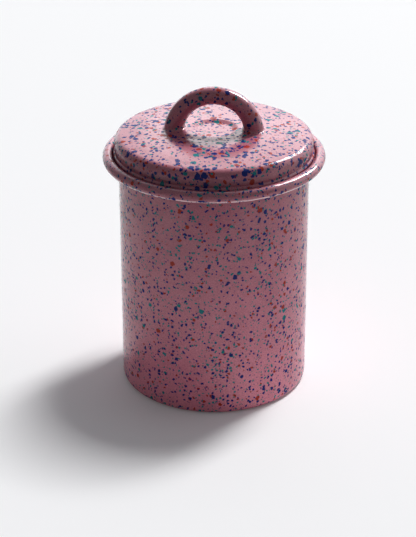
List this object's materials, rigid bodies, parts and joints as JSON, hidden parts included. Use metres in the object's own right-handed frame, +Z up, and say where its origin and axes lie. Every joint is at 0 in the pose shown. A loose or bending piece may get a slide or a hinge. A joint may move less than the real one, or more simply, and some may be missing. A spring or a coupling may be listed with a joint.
{
  "type": "storage jar",
  "caption": "Round enamelled steel storage jar with a rolled rim and a drop-in lid, lifted by an arched tube handle that stands over a shallow finger dish.",
  "frame": {"origin": "on the table, under the middle of the jar", "axes": "+Z up along the jar's axis, X along the handle's arch"},
  "size_m": [0.14, 0.14, 0.1988],
  "materials": {
    "jar_enamel": "gloss",
    "lid_enamel": "gloss",
    "handle_enamel": "gloss"
  },
  "bodies": {
    "jar": {"jar_shell": "jar_enamel"},
    "lid": {"lid_shell": "lid_enamel", "handle": "handle_enamel", "left_foot_weld": "handle_enamel", "right_foot_weld": "handle_enamel"}
  },
  "joints": [
    {"name": "lid_lift", "type": "slide", "parent": "jar", "child": "lid", "axis": [0, 0, 1], "range_m": [0, 0.1]}
  ]
}
